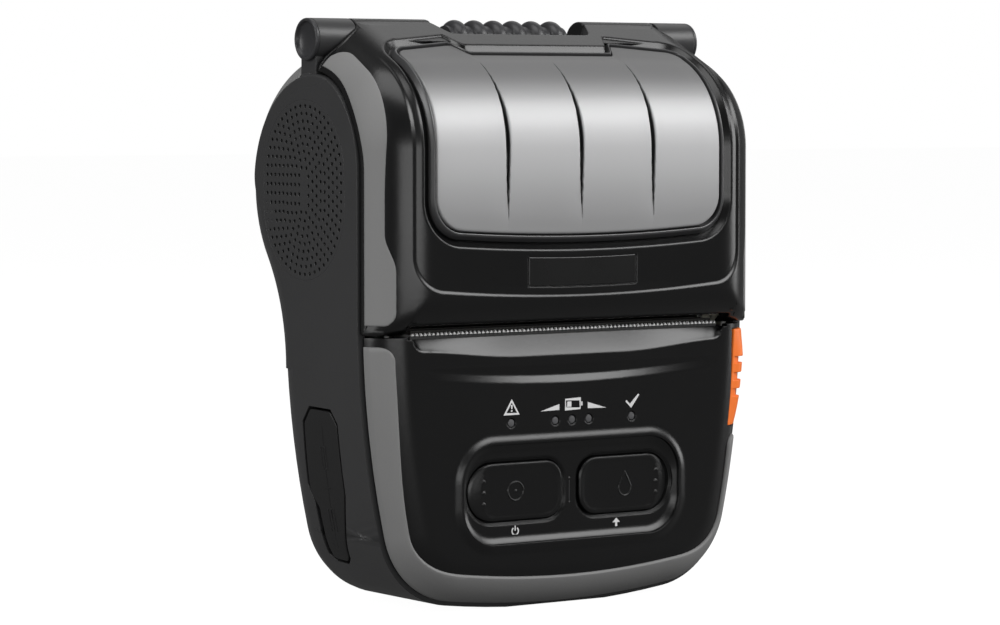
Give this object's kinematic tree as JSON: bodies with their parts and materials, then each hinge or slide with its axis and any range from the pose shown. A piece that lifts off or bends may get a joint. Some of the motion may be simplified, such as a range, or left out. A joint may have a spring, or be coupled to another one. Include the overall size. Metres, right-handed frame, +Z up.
{
  "type": "portable receipt printer",
  "caption": "Upright pocket receipt printer with a hinged windowed paper cover, two front keys, a tear bar, a print mechanism and a removable battery.",
  "frame": {"origin": "middle of the underside, where the printer stands upright", "axes": "+Z up along the height, front face towards -Y, +X along the width, to the right as seen from the front"},
  "size_m": [0.1052, 0.0584, 0.1302],
  "materials": {
    "charcoal_plastic": "fine matt texture",
    "black_plastic": "fine matt texture",
    "grille_plastic": "matt, perforated",
    "grey_rubber": "soft matt rubber",
    "smoked_window": "smoked, glossy",
    "key_plastic": "matt",
    "orange_plastic": "satin orange",
    "lamp_plastic": "milky",
    "steel": "brushed",
    "spring_steel": "bright wire",
    "screw_steel": "zinc",
    "motor_steel": "plated can",
    "heat_sink_aluminium": "plain",
    "head_ceramic": "glazed ceramic strip",
    "platen_rubber": "ground rubber",
    "gear_plastic": "white gear plastic",
    "brass": "turned",
    "bucket_plastic": "matt",
    "paper": "thermal paper",
    "core_plastic": "plain core",
    "circuit_board": "solder mask",
    "socket_plastic": "moulded",
    "contact_gold": "gold plated",
    "flap_rubber": "soft matt rubber",
    "battery_plastic": "fine matt texture",
    "latch_plastic": "matt"
  },
  "bodies": {
    "housing": {"rear_shell": "charcoal_plastic", "left_grille": "grille_plastic", "rear_bumper_left": "grey_rubber", "rear_bumper_right": "grey_rubber", "hinge_pin": "steel", "hinge_caps": "black_plastic", "ribbed_knuckle": "black_plastic", "front_panel": "black_plastic", "lower_bumper": "grey_rubber", "tear_bar": "steel", "paper_bucket": "bucket_plastic", "print_chassis": "steel", "head_springs": "spring_steel", "idler_axle": "steel", "stepper_motor": "motor_steel", "switch_board": "circuit_board", "lamp_lenses": "lamp_plastic", "main_board": "circuit_board", "power_jack": "socket_plastic", "data_socket": "steel", "battery_contacts": "contact_gold", "shell_screws": "screw_steel", "board_screws": "screw_steel", "release_spring": "spring_steel"},
    "cover": {"cover_frame": "black_plastic", "cover_window": "smoked_window", "cover_bumper_left": "grey_rubber", "cover_bumper_right": "grey_rubber", "name_plate": "black_plastic", "platen_bushes": "brass"},
    "platen": {"platen_shaft": "steel", "platen_rubber": "platen_rubber", "platen_gear": "gear_plastic"},
    "idler": {"idler_gear": "gear_plastic"},
    "motor_spindle": {"motor_pinion": "brass"},
    "paper": {"paper_roll": "paper", "roll_core": "core_plastic"},
    "print_head_unit": {"print_head": "head_ceramic", "heat_sink": "heat_sink_aluminium"},
    "power_button": {"power_key": "key_plastic"},
    "feed_button": {"feed_key": "key_plastic"},
    "release": {"release_button": "orange_plastic"},
    "port_flap": {"port_cover": "flap_rubber"},
    "battery": {"battery_pack": "battery_plastic"},
    "battery_catch": {"battery_latch": "latch_plastic"}
  },
  "joints": [
    {"name": "cover_hinge", "type": "hinge", "parent": "housing", "child": "cover", "pos_m": [0, 0.0024, 0.1255], "axis": [-1, 0, 0], "range_deg": [0, 95]},
    {"name": "platen_spin", "type": "hinge", "parent": "cover", "child": "platen", "pos_m": [0, -0.0185, 0.0675], "axis": [1, 0, 0], "continuous": true},
    {"name": "idler_spin", "type": "hinge", "parent": "housing", "child": "idler", "pos_m": [0.0454, -0.00864, 0.06395], "axis": [1, 0, 0], "continuous": true},
    {"name": "pinion_spin", "type": "hinge", "parent": "housing", "child": "motor_spindle", "pos_m": [0.0454, -0.0044, 0.0566], "axis": [1, 0, 0], "continuous": true},
    {"name": "paper_spin", "type": "hinge", "parent": "housing", "child": "paper", "pos_m": [0, 0, 0.0924], "axis": [1, 0, 0], "continuous": true},
    {"name": "head_pivot", "type": "hinge", "parent": "housing", "child": "print_head_unit", "pos_m": [0, -0.0128, 0.0611], "axis": [1, 0, 0], "range_deg": [0, 2.5], "stiffness_Nm_per_rad": 0.5, "springref_deg": -2.86},
    {"name": "power_press", "type": "slide", "parent": "housing", "child": "power_button", "axis": [0, 1, 0], "range_m": [0, 0.0008], "stiffness_N_per_m": 400, "springref_m": -0.0005},
    {"name": "feed_press", "type": "slide", "parent": "housing", "child": "feed_button", "axis": [0, 1, 0], "range_m": [0, 0.0008], "stiffness_N_per_m": 400, "springref_m": -0.0005},
    {"name": "release_press", "type": "slide", "parent": "housing", "child": "release", "axis": [0, 1, 0], "range_m": [0, 0.001], "stiffness_N_per_m": 600, "springref_m": -0.0005},
    {"name": "port_flap_hinge", "type": "hinge", "parent": "housing", "child": "port_flap", "pos_m": [-0.0489, -0.0083, 0.027], "axis": [-0.184, 0, 0.9829], "range_deg": [0, 100]},
    {"name": "battery_slide", "type": "slide", "parent": "housing", "child": "battery", "axis": [0, 1, 0], "range_m": [0, 0.02]},
    {"name": "battery_latch_slide", "type": "slide", "parent": "housing", "child": "battery_catch", "axis": [0, 0, 1], "range_m": [0, 0.002], "stiffness_N_per_m": 200, "springref_m": -0.0005}
  ],
  "couplings": [
    {"joint": "idler_spin", "follows": "platen_spin", "ratio": -0.73333},
    {"joint": "pinion_spin", "follows": "platen_spin", "ratio": 1.8333}
  ]
}
